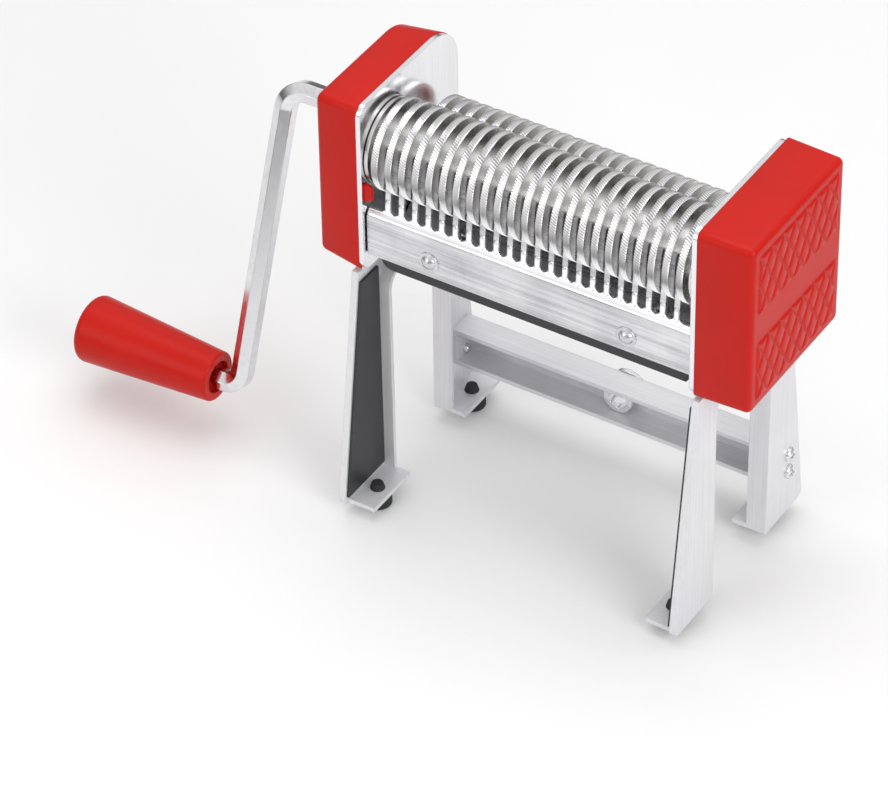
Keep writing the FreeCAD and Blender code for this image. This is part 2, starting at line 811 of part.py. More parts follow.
def leg_frame_right():
    foot_z = head_floor_z - leg_drop
    web = along_x(leg_outline(), outer_half, outer_half + leg_t)
    lip_x = outer_half - flange_width
    lip = along_x(arch_outline(flange_t, foot_z), lip_x, outer_half)
    lip = lip.cut(along_x(arch_outline(0, foot_z), lip_x - 1, outer_half + 1))
    tabs = []
    for side in (-1, 1):
        ends = sorted(head_mid_y + side * half for half in (arch_half_foot, leg_half_foot - leg_corner_r))
        tabs.append(block(outer_half - foot_tab_reach, outer_half, ends[0], ends[1],
                          foot_z, foot_z + foot_tab_t))
    frame = web.multiFuse([lip] + tabs).removeSplitter()
    holes = []
    for place in frame_screw_places + rail_screw_places:
        holes.append(rod_x(screw_r + screw_gap, outer_half - 1, outer_half + leg_t + 1, place))
    for place in foot_places():
        hole_r = foot_neck_r + foot_hole_gap
        holes.append(Part.makeCylinder(hole_r, 3 * foot_tab_t, place - Z_AXIS * foot_tab_t, Z_AXIS))
    return frame.cut(holes)


def leg_liner_right():
    """Strip on the inner face of the front leg, between its front edge and its flange."""
    drops = (liner_top_drop, leg_drop - liner_foot_room)
    front = [(leg_half_at(drop) - liner_margin, drop) for drop in drops]
    back = [(arch_half_at(drop) + flange_t + seat_gap, drop) for drop in drops]
    corners = [vec(0, head_mid_y - half, head_floor_z - drop) for half, drop in front + back[::-1]]
    strip = along_x(Part.makePolygon(corners + corners[:1]), outer_half - liner_t, outer_half)
    arch = along_x(arch_outline(flange_t + seat_gap, bench_z), outer_half - 2 * liner_t, outer_half + 1)
    return strip.cut(arch)


def feet():
    """Rubber feet, each with a neck and bulb that hold it in its tab."""
    above = foot_height + foot_tab_t
    profile = [(0, 0), (0, foot_r - foot_taper), (foot_taper, foot_r), (foot_height, foot_r)]
    profile += [(foot_height, foot_neck_r), (above, foot_neck_r), (above, foot_bulb_r)]
    profile += [(above + foot_bulb_h, foot_neck_r), (above + foot_bulb_h, 0)]
    right = []
    for place in foot_places():
        right.append(turned(profile, place - Z_AXIS * foot_height, Z_AXIS, X_AXIS))
    return both_sides(right)


def clamp_rail():
    """Channel between the rear legs, open to the front, with closed ends against the leg frames."""
    back = -clamp_flange_t
    front = back - rail_depth
    half_h = rail_height / 2
    outside = block(-outer_half, outer_half, front, back, -half_h, half_h)
    at_back = [edge for edge in outside.Edges if all(abs(v.Y - back) < seat_gap for v in edge.Vertexes)]
    outside = outside.makeFillet(rail_bend_r, [edge for edge in at_back if edge.Length > outer_half])
    inside = block(rail_t - outer_half, outer_half - rail_t, front - 1, back - rail_t,
                   rail_t - half_h, half_h - rail_t)
    hole_r = clamp_r + clamp_wall + seat_gap
    cuts = [inside, Part.makeCylinder(hole_r, rail_depth, vec(0, front, 0), Y_AXIS)]
    for place in rail_screw_places:
        cuts.append(rod_x(screw_r + seat_gap, -outer_half - 1, outer_half + 1, place))
    return outside.cut(cuts)


def clamp_bush():
    """Flanged bush in the rail that takes the pin of a bench clamp."""
    wall = clamp_r + clamp_wall
    profile = [(0, clamp_r), (0, wall + clamp_flange), (clamp_flange_t, wall + clamp_flange)]
    profile += [(clamp_flange_t, wall), (clamp_length, wall), (clamp_length, clamp_r)]
    return turned(profile, vec(0, 0, 0), -Y_AXIS, X_AXIS)


hang = math.radians(crank_hang)
arm_down = vec(0, -math.sin(hang), -math.cos(hang))
arm_x = -(outer_half + cap_left_width + crank_standoff)
grip_axis = rear_axis + arm_down * crank_throw
grip_start = arm_x - grip_setback
grip_end = grip_start - grip_length
pin_start = grip_start + hex_stub_room
pin_end = grip_end + grip_pin_end_room
ring_groove_x = pin_end + grip_pin_tip_room + grip_ring_room
hex_turn = math.atan2(arm_down.z, arm_down.y) + math.pi / 6


def crank():
    """Hexagon bar with two bends, and a round pin for the grip."""
    tip = at_x(rear_axis, socket_depth - socket_tip_room - drive_shaft_end)
    top = at_x(rear_axis, arm_x)
    foot = at_x(grip_axis, arm_x)
    top_in = top + X_AXIS * crank_bend_r
    top_out = top + arm_down * crank_bend_r
    foot_in = foot - arm_down * crank_foot_bend_r
    foot_out = foot - X_AXIS * crank_foot_bend_r
    bow = 1 - math.sqrt(0.5)
    top_mid = top + (X_AXIS + arm_down) * (crank_bend_r * bow)
    foot_mid = foot - (X_AXIS + arm_down) * (crank_foot_bend_r * bow)
    edges = [Part.LineSegment(tip, top_in), Part.Arc(top_in, top_mid, top_out)]
    edges += [Part.LineSegment(top_out, foot_in), Part.Arc(foot_in, foot_mid, foot_out)]
    edges += [Part.LineSegment(foot_out, at_x(grip_axis, pin_start))]
    path = Part.Wire([edge.toShape() for edge in edges])
    bar = path.makePipeShell([hexagon_x(hex_r, tip, hex_turn)], True, False)
    pin = rod_x(grip_pin_r, pin_end, pin_start, grip_axis)
    groove_end = ring_groove_x + clip_t + 2 * clip_groove_play
    groove = rod_x(2 * grip_pin_r, ring_groove_x, groove_end, grip_axis)
    groove = groove.cut(rod_x(grip_pin_r - clip_groove_depth, ring_groove_x - 1, groove_end + 1, grip_axis))
    return bar.fuse(pin).cut(groove).removeSplitter()


def grip_ring():
    return clip(grip_pin_r, ring_groove_x, grip_axis)


def grip():
    """Tapered handle that turns on the crank's pin; its small end faces the arm."""
    base = at_x(grip_axis, grip_start)
    rim = base - X_AXIS * (grip_length - grip_dome) + Z_AXIS * grip_large_r
    crown = base - X_AXIS * grip_length
    dome_mid = crown + X_AXIS * (grip_dome / 4) + Z_AXIS * (grip_large_r / 2)
    edges = [Part.LineSegment(base, base + Z_AXIS * grip_small_r)]
    edges += [Part.LineSegment(base + Z_AXIS * grip_small_r, rim), Part.Arc(rim, dome_mid, crown)]
    edges += [Part.LineSegment(crown, base)]
    face = Part.Face(Part.Wire([edge.toShape() for edge in edges]))
    body = face.revolve(base, X_AXIS, 360)
    rings = [edge for edge in body.Edges if edge.BoundBox.XLength < seat_gap]
    small = [ring for ring in rings if abs(ring.BoundBox.XMax - grip_start) < seat_gap]
    large = [ring for ring in rings if abs(ring.BoundBox.XMin - rim.x) < seat_gap]
    body = body.makeFillet(grip_edge_r, small).makeFillet(grip_end_r, large)
    bore = rod_x(grip_pin_r + running_gap, pin_end - grip_pin_tip_room, grip_start, grip_axis)
    mouth = rod_x(grip_mouth_r, grip_start - grip_mouth_depth, grip_start + 1, grip_axis)
    room = rod_x(grip_pin_r + clip_land + grip_ring_room, ring_groove_x - grip_ring_room,
                 ring_groove_x + clip_t + 2 * clip_groove_play + grip_ring_room, grip_axis)
    return body.cut([bore, mouth, room])


def front_gear():
    return gear(front_axis, -tilt, 0)


def rear_gear():
    return gear(rear_axis, math.pi - tilt, 0.5)


nodes = {
    "side_plate_left": lambda: mirrored(side_plate(left_rear_r, drive_journal_r, left_tabs)),
    "side_plate_right": lambda: side_plate(plate_corner_r, front_journal_r, right_tabs),
    "end_cap_left": end_cap_left,
    "end_cap_right": end_cap_right,
    "front_bush_left": lambda: mirrored(bush(front_journal_r, front_axis)),
    "front_bush_right": lambda: bush(front_journal_r, front_axis),
    "rear_bush_left": lambda: mirrored(bush(drive_journal_r, rear_axis)),
    "rear_bush_right": lambda: bush(front_journal_r, rear_axis),
    "front_roller": front_roller,
    "rear_roller": rear_roller,
    "front_gear": front_gear,
    "rear_gear": rear_gear,
    "front_gear_clip": lambda: clip(front_journal_r, gear_clip_x, front_axis),
    "rear_gear_clip": lambda: clip(front_journal_r, gear_clip_x, rear_axis),
    "front_roller_clip": lambda: mirrored(clip(front_journal_r, bush_clip_x, front_axis)),
    "rear_roller_clip": lambda: mirrored(clip(drive_journal_r, bush_clip_x, rear_axis)),
    "front_comb": front_comb,
    "rear_comb": rear_comb,
    "front_comb_bar": front_bar,
    "rear_comb_bar": rear_bar,
    "front_comb_rivets": front_rivets,
    "rear_comb_rivets": rear_rivets,
    "tie_rod": tie_rod,
    "frame_screws": frame_screws,
    "leg_frame_left": lambda: mirrored(leg_frame_right()),
    "leg_frame_right": leg_frame_right,
    "leg_liner_left": lambda: mirrored(leg_liner_right()),
    "leg_liner_right": leg_liner_right,
    "feet": feet,
    "clamp_rail": clamp_rail,
    "clamp_bush": clamp_bush,
    "rail_screws": rail_screws,
    "crank": crank,
    "crank_grip": grip,
    "grip_ring": grip_ring,
}

os.makedirs("parts", exist_ok=True)
for node, build in nodes.items():
    made = build()
    shape = Part.makeCompound(made) if isinstance(made, list) else made
    print(node, len(shape.Solids), shape.isValid(), round(shape.Volume, 1))
    shape.exportStep("parts/" + node + ".step")
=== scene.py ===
import json
import math

import bpy
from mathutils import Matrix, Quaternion, Vector


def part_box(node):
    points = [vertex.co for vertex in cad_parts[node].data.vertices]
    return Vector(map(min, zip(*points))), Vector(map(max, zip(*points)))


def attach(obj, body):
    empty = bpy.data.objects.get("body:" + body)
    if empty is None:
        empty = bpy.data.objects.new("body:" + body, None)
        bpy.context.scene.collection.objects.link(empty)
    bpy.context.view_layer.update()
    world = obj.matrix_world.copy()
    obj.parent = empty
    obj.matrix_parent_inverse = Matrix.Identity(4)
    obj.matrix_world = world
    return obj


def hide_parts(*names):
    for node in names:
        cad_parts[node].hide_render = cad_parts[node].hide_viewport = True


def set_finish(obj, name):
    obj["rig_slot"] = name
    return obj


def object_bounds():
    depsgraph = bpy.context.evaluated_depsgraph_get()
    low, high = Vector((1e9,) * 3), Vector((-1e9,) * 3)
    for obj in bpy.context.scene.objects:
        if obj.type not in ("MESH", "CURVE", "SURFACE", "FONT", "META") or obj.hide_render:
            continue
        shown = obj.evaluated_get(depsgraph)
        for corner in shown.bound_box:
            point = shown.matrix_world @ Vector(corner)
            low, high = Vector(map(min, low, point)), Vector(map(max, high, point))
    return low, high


# Hand-cranked pasta cutter, in metres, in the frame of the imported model:
# +X along the rollers to the geared end, +Y to the back, +Z up.
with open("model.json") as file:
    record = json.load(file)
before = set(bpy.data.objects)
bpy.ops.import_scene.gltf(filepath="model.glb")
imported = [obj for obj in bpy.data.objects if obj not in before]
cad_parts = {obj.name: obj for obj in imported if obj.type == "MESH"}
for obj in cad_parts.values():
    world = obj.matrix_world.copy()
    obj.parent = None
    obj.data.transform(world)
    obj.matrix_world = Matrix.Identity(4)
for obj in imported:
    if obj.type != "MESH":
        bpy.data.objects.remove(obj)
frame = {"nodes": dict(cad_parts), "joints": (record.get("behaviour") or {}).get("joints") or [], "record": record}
cad_low, cad_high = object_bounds()
nodes = frame["nodes"]
joint_places = {joint["name"]: Vector(joint["pos_m"]) for joint in frame["joints"]}
MM = 0.001
LAID_ALONG_X = (0, math.pi / 2, 0)
SAME_PLACE = 0.01 * MM
FACING = 0.9
SQUARELY = 0.99

# Places taken from the frame
front_axis = joint_places["front_roller_turn"]
rear_axis = joint_places["crank_turn"]
plate_inner_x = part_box("side_plate_right")[0].x
plate_outer_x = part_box("side_plate_right")[1].x
head_low, head_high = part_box("end_cap_right")
floor_z = cad_low.z

# Front comb: its crease, and the roots of the fingers above it, where a highlight is painted
crease_drop = 25.3 * MM
crease_z = front_axis.z - crease_drop
root_rise = 1.6 * MM
root_length = 6.4 * MM

# Cutting rollers, with the same discs on both
disc_count = 23
disc_pitch = 6.24 * MM
disc_width = 3.0 * MM
disc_r = 19.5 * MM
groove_r = 11.7 * MM
disc_core_r = 11.1 * MM
disc_chamfer = 0.2 * MM
knurl_ridges = 104
knurl_depth = 0.34 * MM
knurl_slant = math.radians(3.5)
flange_t = 1.6 * MM
flange_r = 18.2 * MM
roller_end_gap = 0.4 * MM
journal_r = 5.0 * MM
drive_journal_r = 8.0 * MM
clip_groove_depth = 0.9 * MM
clip_groove_play = 0.1 * MM
journal_chamfer = 0.5 * MM
turning_steps = 96
turned_sharp_angle = 35
gear_flat = 1.2 * MM
gear_side_room = 0.25 * MM
socket_flats = 8.5 * MM
socket_depth = 22.0 * MM
socket_turn = math.radians(-79.5)

# End caps
cap_wall = 1.6 * MM
cap_corner_r = 3.2 * MM
cap_corner_segments = 7
cap_rear_top_r = 18.0 * MM
cap_rear_top_segments = 14
cap_edge_r = 2.4 * MM
cap_edge_segments = 6
cap_right_draft = 0.6 * MM
cap_left_draft = 1.85 * MM
cap_soft_edge = 0.16 * MM
cap_soft_edge_segments = 2
cap_soft_edge_angle = math.radians(35)
cap_sharp_angle = 32
relief_height = 0.8 * MM
relief_slope = 1.5 * MM
relief_corner = 0.7 * MM
relief_border = 1.5 * MM
relief_merge = 0.85 * MM
lozenge_width = 8.9 * MM
lozenge_height = 13.3 * MM
# Each step of a lozenge: its share of the slope's width and of the height
relief_steps = ((0.45, 0.6), (0.55, 0.4))
room_across = 0.6 * relief_slope
room_along = 1.4 * relief_slope
boss_r = 12.5 * MM
boss_height = 0.9 * MM
boss_sides = 64
crank_hole_r = 6.0 * MM
crank_hole_sides = 48
tab_depth = 2.4 * MM
tab_size = 8.6 * MM
tab_nub = 3.8 * MM
tab_setback = 1.5 * MM
tab_height = 38.8 * MM
upper_tab_height = 62.0 * MM
tab_root = 3.0 * MM
tab_corner_r = 3.2 * MM
tab_corner_segments = 8
tab_round = 1.1 * MM
tab_round_segments = 5
ear_inset = 2.3 * MM
ear_slot = 3.3 * MM

# Screws of the rear rail
screw_r = 2.0 * MM
screw_tip = 0.5 * MM
screw_head_r = 3.2 * MM
screw_head_h = 2.4 * MM
screw_head_dome = (0.4, 0.65, 0.82, 0.94, 1.0)
screw_head_flat = 1.02
screw_steps = 40
recess_width = 0.9 * MM
recess_length = 3.7 * MM
recess_depth = 1.2 * MM


def only(piece):
    """Make one piece the selected and active one."""
    bpy.ops.object.select_all(action="DESELECT")
    piece.select_set(True)
    bpy.context.view_layer.objects.active = piece


def settle(name):
    """Put the new primitive's place, turn and size into its mesh, and name it."""
    bpy.ops.object.transform_apply(location=True, rotation=True, scale=True)
    piece = bpy.context.object
    piece.name = name
    piece.data.name = name
    return piece


def pick(piece, kind, test):
    """Enter edit mode with only those faces, edges or vertices selected that pass the test."""
    only(piece)
    bpy.ops.object.mode_set(mode="EDIT")
    bpy.ops.mesh.select_mode(type=kind)
    bpy.ops.mesh.select_all(action="DESELECT")
    bpy.ops.object.mode_set(mode="OBJECT")
    mesh = piece.data
    parts = {"FACE": mesh.polygons, "EDGE": mesh.edges, "VERT": mesh.vertices}[kind]
    for part in parts:
        part.select = test(part)
    bpy.ops.object.mode_set(mode="EDIT")


def leave_edit():
    bpy.ops.object.mode_set(mode="OBJECT")


def ends(piece, edge):
    return [piece.data.vertices[index].co for index in edge.vertices]


def lies_at(piece, edge, x):
    """Whether both ends of an edge are at this x."""
    return all(abs(point.x - x) < SAME_PLACE for point in ends(piece, edge))


def apply_modifier(piece, kind, **settings):
    only(piece)
    modifier = piece.modifiers.new(kind.lower(), kind)
    for setting, value in settings.items():
        setattr(modifier, setting, value)
    bpy.ops.object.modifier_apply(modifier=modifier.name)


def combine(piece, other, operation):
    """Cut the other shape out of the piece, or add it, and remove the other shape."""
    apply_modifier(piece, "BOOLEAN", object=other, operation=operation, solver="EXACT")
    bpy.data.objects.remove(other)


def joined(piece, *others):
    only(piece)
    for other in others:
        other.select_set(True)
    bpy.ops.object.join()
    return piece


def placed_copy(piece, place_at, turn):
    """Copy of a piece with its own mesh, turned about Z and moved."""
    only(piece)
    bpy.ops.object.duplicate(linked=False)
    copy = bpy.context.object
    copy.rotation_euler = (0, 0, turn)
    copy.location = place_at
    bpy.ops.object.transform_apply(location=True, rotation=True, scale=True)
    return copy


def recalculated(piece):
    pick(piece, "FACE", lambda face: True)
    bpy.ops.mesh.normals_make_consistent(inside=False)
    leave_edit()


def smoothed(piece, degrees):
    only(piece)
    bpy.ops.object.shade_smooth_by_angle(angle=math.radians(degrees))


def block(name, low, high):
    bpy.ops.object.select_all(action="DESELECT")
    bpy.ops.mesh.primitive_cube_add(size=1, location=(low + high) / 2, scale=high - low)
    return settle(name)


def rod(name, r, x0, x1, axis, sides):
    bpy.ops.object.select_all(action="DESELECT")
    bpy.ops.mesh.primitive_cylinder_add(vertices=sides, radius=r, depth=x1 - x0, rotation=LAID_ALONG_X,
                                        location=((x0 + x1) / 2, axis.y, axis.z))
    return settle(name)


def turned(name, profile, axis, steps):
    """Body turned about a line along X: a disc, extruded and resized through (x, radius) points."""
    bpy.ops.object.select_all(action="DESELECT")
    x, r = profile[0]
    bpy.ops.mesh.primitive_circle_add(vertices=steps, radius=r, fill_type="NGON", rotation=LAID_ALONG_X,
                                      location=(x, axis.y, axis.z))
    piece = settle(name)
    pick(piece, "FACE", lambda face: True)
    for next_x, next_r in profile[1:]:
        bpy.ops.mesh.extrude_region_move(TRANSFORM_OT_translate={"value": (next_x - x, 0, 0)})
        bpy.ops.transform.resize(value=(1, next_r / r, next_r / r), center_override=(next_x, axis.y, axis.z))
        x, r = next_x, next_r
    leave_edit()
    recalculated(piece)
    return piece


def knurled_disc(name):
    """One disc about the X axis: a rim with slanted ridges, a chamfer and two flat sides."""
    bpy.ops.object.select_all(action="DESELECT")
    rim_half = disc_width / 2 - disc_chamfer
    bpy.ops.mesh.primitive_cylinder_add(vertices=2 * knurl_ridges, radius=disc_r, depth=2 * rim_half,
                                        end_fill_type="NOTHING", rotation=LAID_ALONG_X)
    disc = settle(name)
    pick(disc, "VERT", lambda vertex: vertex.index // 2 % 2 == 0)
    valley = 1 - knurl_depth / disc_r
    bpy.ops.transform.resize(value=(1, valley, valley), center_override=(0, 0, 0))
    leave_edit()
    pick(disc, "VERT", lambda vertex: vertex.co.x > 0)
    bpy.ops.transform.rotate(value=-knurl_slant, orient_axis="X", center_override=(0, 0, 0))
    leave_edit()
    for side in (-1, 1):
        pick(disc, "EDGE", lambda edge: lies_at(disc, edge, side * rim_half))
        bpy.ops.mesh.extrude_edges_move(TRANSFORM_OT_translate={"value": (side * disc_chamfer, 0, 0)})
        chamfered = 1 - disc_chamfer / disc_r
        bpy.ops.transform.resize(value=(1, chamfered, chamfered), center_override=(0, 0, 0))
        bpy.ops.mesh.extrude_edges_move(TRANSFORM_OT_translate={"value": (0, 0, 0)})
        inner = disc_core_r / (disc_r - disc_chamfer)
        bpy.ops.transform.resize(value=(1, inner, inner), center_override=(0, 0, 0))
        leave_edit()
    pick(disc, "EDGE", lambda edge: all(math.hypot(p.y, p.z) < groove_r for p in ends(disc, edge)))
    bpy.ops.mesh.bridge_edge_loops()
    leave_edit()
    recalculated(disc)
    return disc


def clip_groove(clip_node, r):
    """Profile points of the groove that a retaining clip sits in, from left to right."""
    low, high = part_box(clip_node)
    left = low.x - clip_groove_play
    right = high.x + clip_groove_play
    bottom = r - clip_groove_depth
    return [(left, r), (left, bottom), (right, bottom), (right, r)]


def shaft_end(x, r, side):
    """Profile points of a chamfered shaft end, ordered from left to right."""
    points = [(x - side * journal_chamfer, r), (x, r - journal_chamfer)]
    return points if side > 0 else points[::-1]


def flat_block(name, axis, shaft_end_x):
    """Block that takes the flat for the gear off the right journal."""
    gear_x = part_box("rear_gear")[0].x - gear_side_room
    level = axis.z + journal_r - gear_flat
    return block(name, Vector((gear_x, axis.y - disc_r, level)),
                 Vector((shaft_end_x + MM, axis.y + disc_r, level + disc_r)))


def socket_block(name, axis, mouth_x):
    """Hexagon bar in the place of the crank's socket."""
    bar = rod(name, socket_flats / math.sqrt(3), mouth_x - MM, mouth_x + socket_depth, axis, sides=6)
    pick(bar, "FACE", lambda face: True)
    bpy.ops.transform.rotate(value=-socket_turn, orient_axis="X", center_override=axis)
    leave_edit()
    return bar


def cutting_roller(name, node, axis, disc, discs, left_clip, right_clip, left_r, flanged, socket):
    """Turned core with journals and clip grooves, and a row of copies of the knurled disc on it."""
    low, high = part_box(node)
    half = plate_inner_x - roller_end_gap
    body_r = flange_r if flanged else groove_r
    profile = shaft_end(low.x, left_r, -1) + clip_groove(left_clip, left_r) + [(-half, left_r)]
    profile += [(-half, body_r), (flange_t - half, body_r), (flange_t - half, groove_r)]
    profile += [(half - flange_t, groove_r), (half - flange_t, body_r), (half, body_r), (half, journal_r)]
    profile += clip_groove(right_clip, journal_r) + shaft_end(high.x, journal_r, 1)
    core = turned(name, profile, axis, turning_steps)
    combine(core, flat_block("gear_flat", axis, high.x), "DIFFERENCE")
    if socket:
        combine(core, socket_block("crank_socket", axis, low.x), "DIFFERENCE")
    row = placed_copy(disc, (0, 0, 0), 0)
    apply_modifier(row, "ARRAY", count=discs, use_relative_offset=False, use_constant_offset=True,
                   constant_offset_displace=(disc_pitch, 0, 0))
    row.location = (-(discs - 1) / 2 * disc_pitch, axis.y, axis.z)
    only(row)
    settle(name + "_discs")
    roller = joined(core, row)
    smoothed(roller, turned_sharp_angle)
    return roller


def cap_shell(name, plate_x, end_x, draft, rear_top_r):
    """Hollow cap: a block drawn in towards its outer end, rounded, and open towards the side plate."""
    outward = 1 if end_x > plate_x else -1
    low = Vector((min(plate_x, end_x), head_low.y, head_low.z))
    high = Vector((max(plate_x, end_x), head_high.y, head_high.z))
    size = high - low
    cap = block(name, low, high)
    pick(cap, "FACE", lambda face: face.normal.x * outward > FACING)
    drawn_in = (1, 1 - 2 * draft / size.y, 1 - 2 * draft / size.z)
    bpy.ops.transform.resize(value=drawn_in, center_override=(low + high) / 2)
    leave_edit()

    def lengthwise(edge, rear_top):
        a, b = ends(cap, edge)
        at_rear_top = a.y > (low.y + high.y) / 2 and a.z > (low.z + high.z) / 2
        return abs(a.x - b.x) > size.x / 2 and at_rear_top == rear_top

    pick(cap, "EDGE", lambda edge: lengthwise(edge, True))
    bpy.ops.mesh.bevel(offset=rear_top_r, segments=cap_rear_top_segments, affect="EDGES")
    leave_edit()
    pick(cap, "EDGE", lambda edge: lengthwise(edge, False))
    bpy.ops.mesh.bevel(offset=cap_corner_r, segments=cap_corner_segments, affect="EDGES")
    leave_edit()
    pick(cap, "FACE", lambda face: face.normal.x * outward < -FACING)
    bpy.ops.mesh.delete(type="FACE")
    leave_edit()
    pick(cap, "EDGE", lambda edge: lies_at(cap, edge, end_x))
    bpy.ops.mesh.bevel(offset=cap_edge_r, segments=cap_edge_segments, affect="EDGES")
    leave_edit()
    apply_modifier(cap, "SOLIDIFY", thickness=cap_wall, offset=-1)
    return cap


def snap_tab(outward, at_front, height):
    """Rounded tongue of a cap, which shows through its window in the side plate."""
    tip_x = outward * (plate_inner_x - tab_nub)
    root_x = outward * (plate_outer_x + tab_root)
    y = head_low.y + tab_setback if at_front else head_high.y - tab_setback - tab_depth
    middle_z = head_low.z + height
    low = Vector((min(tip_x, root_x), y, middle_z - tab_size / 2))
    high = Vector((max(tip_x, root_x), y + tab_depth, middle_z + tab_size / 2))
    tab = block("snap_tab", low, high)

    def tip_corner(edge):
        a, b = ends(tab, edge)
        return lies_at(tab, edge, tip_x) and abs(a.z - b.z) < SAME_PLACE

    def outline(edge):
        a, b = ends(tab, edge)
        return abs(a.y - b.y) < SAME_PLACE and not lies_at(tab, edge, root_x)

    pick(tab, "EDGE", tip_corner)
    bpy.ops.mesh.bevel(offset=tab_corner_r, segments=tab_corner_segments, affect="EDGES")
    leave_edit()
    pick(tab, "EDGE", outline)
    bpy.ops.mesh.bevel(offset=tab_round, segments=tab_round_segments, affect="EDGES")
    leave_edit()
    return tab


def diamond_relief(cap, base_x, outward, bare_band):
    """Cut the cap's outer face along two slanted families of lines and raise the lozenges between them."""

    def on_base(face):
        return face.normal.x * outward > SQUARELY and abs(face.center.x - base_x) < SAME_PLACE

    pick(cap, "FACE", on_base)
    bpy.ops.mesh.inset(thickness=relief_corner)
    bpy.ops.mesh.remove_doubles(threshold=relief_merge)
    bpy.ops.mesh.inset(thickness=relief_border)
    leave_edit()
    panel = [face for face in cap.data.polygons if face.select]
    points = [cap.data.vertices[index].co for face in panel for index in face.vertices]
    low = Vector(min(point[i] for point in points) for i in range(3))
    high = Vector(max(point[i] for point in points) for i in range(3))
    middle = (low + high) / 2
    across = round((high.y - low.y) / lozenge_width)
    upward = round((high.z - low.z) / lozenge_height)
    half_width = (high.y - low.y) / across / 2
    half_height = (high.z - low.z) / upward / 2

    def on_panel(face):
        inside = low.y < face.center.y < high.y and low.z < face.center.z < high.z
        return on_base(face) and inside

    def in_band(face):
        return bare_band and abs(face.center.z - middle.z) < half_height

    def has_room(face):
        points = [cap.data.vertices[index].co for index in face.vertices]
        sides = [(a - b).length for a, b in zip(points, points[1:] + points[:1])]
        return face.area / sum(sides) > room_across and min(sides) > room_along

    def cut(place, normal):
        pick(cap, "FACE", on_panel)
        bpy.ops.mesh.bisect(plane_co=place, plane_no=normal)
        leave_edit()

    if bare_band:
        for side in (-1, 1):
            cut(middle + Vector((0, 0, side * half_height)), (0, 0, 1))
    lines = (across + upward) // 2
    for slant in (-1, 1):
        normal = Vector((0, half_height, slant * half_width)).normalized()
        for line in range(-lines, lines + 1):
            cut(middle + Vector((0, 2 * line * half_width, 0)), normal)
    pick(cap, "FACE", on_panel)
    bpy.ops.mesh.remove_doubles(threshold=relief_merge)
    leave_edit()
    if bare_band:
        pick(cap, "FACE", lambda face: on_panel(face) and in_band(face))
        bpy.ops.mesh.dissolve_faces()
        leave_edit()
    pick(cap, "FACE", lambda face: on_panel(face) and not in_band(face) and has_room(face))
    for width_share, height_share in relief_steps:
        bpy.ops.mesh.inset(thickness=relief_slope * width_share, use_individual=True)
        bpy.ops.transform.translate(value=(outward * relief_height * height_share, 0, 0))
    leave_edit()


def end_cap(name, node, draft, rear_top_r, tabs, bare_band):
    """Moulded cap with relief on its outer face, snap tabs and room for the ear of the leg frame."""
    low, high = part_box(node)
    outward = 1 if high.x > plate_outer_x else -1
    base_x = (high.x if outward > 0 else low.x) - outward * relief_height
    cap = cap_shell(name, outward * plate_outer_x, base_x, draft, rear_top_r)
    near_x = outward * (plate_outer_x - MM)
    far_x = outward * (plate_outer_x + ear_slot)
    slot_low = Vector((min(near_x, far_x), head_low.y + ear_inset, head_low.z - MM))
    slot_high = Vector((max(near_x, far_x), head_high.y - ear_inset, head_low.z + 2 * cap_wall))
    combine(cap, block("ear_slot", slot_low, slot_high), "DIFFERENCE")
    for at_front, height in tabs:
        combine(cap, snap_tab(outward, at_front, height), "UNION")
    apply_modifier(cap, "BEVEL", width=cap_soft_edge, segments=cap_soft_edge_segments,
                   limit_method="ANGLE", angle_limit=cap_soft_edge_angle)
    diamond_relief(cap, base_x, outward, bare_band)
    return cap


def finish_cap(cap, node):
    recalculated(cap)
    smoothed(cap, cap_sharp_angle)
    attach(cap, "frame")
    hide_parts(node)
    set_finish(cap, "red_plastic")
    return cap


def cap_right():
    tabs = [(False, tab_height), (False, upper_tab_height)]
    cap = end_cap("cap_right", "end_cap_right", cap_right_draft, cap_corner_r, tabs, bare_band=True)
    return finish_cap(cap, "end_cap_right")


def cap_left():
    """Left cap, with a plain boss round the hole for the crank."""
    tabs = [(True, tab_height), (False, tab_height)]
    cap = end_cap("cap_left", "end_cap_left", cap_left_draft, cap_rear_top_r, tabs, bare_band=False)
    end_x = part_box("end_cap_left")[0].x
    boss = rod("boss", boss_r, end_x + relief_height - boss_height, end_x + cap_wall, rear_axis,
               boss_sides)
    combine(cap, boss, "UNION")
    hole = rod("crank_hole", crank_hole_r, end_x - 2 * boss_height, end_x + 4 * cap_wall, rear_axis,
               crank_hole_sides)
    combine(cap, hole, "DIFFERENCE")
    return finish_cap(cap, "end_cap_left")


def front_roller(disc):
    roller = cutting_roller("roller_front", "front_roller", front_axis, disc, disc_count, "front_roller_clip",
                            "front_gear_clip", journal_r, flanged=True, socket=False)
    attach(roller, "front_cutter")
    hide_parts("front_roller")
    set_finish(roller, "roller_steel")
    return roller


def rear_roller(disc):
    """Driven roller, with the hexagon socket that takes the crank."""
    roller = cutting_roller("roller_rear", "rear_roller", rear_axis, disc, disc_count - 1, "rear_roller_clip",
                            "rear_gear_clip", drive_journal_r, flanged=False, socket=True)
    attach(roller, "drive")
    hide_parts("rear_roller")
    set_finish(roller, "roller_steel")
    return roller


def both_rollers():
    """Both rollers, with copies of one modelled disc."""
    disc = knurled_disc("cutting_disc")
    rollers = [front_roller(disc), rear_roller(disc)]
    bpy.data.objects.remove(disc)
    return rollers


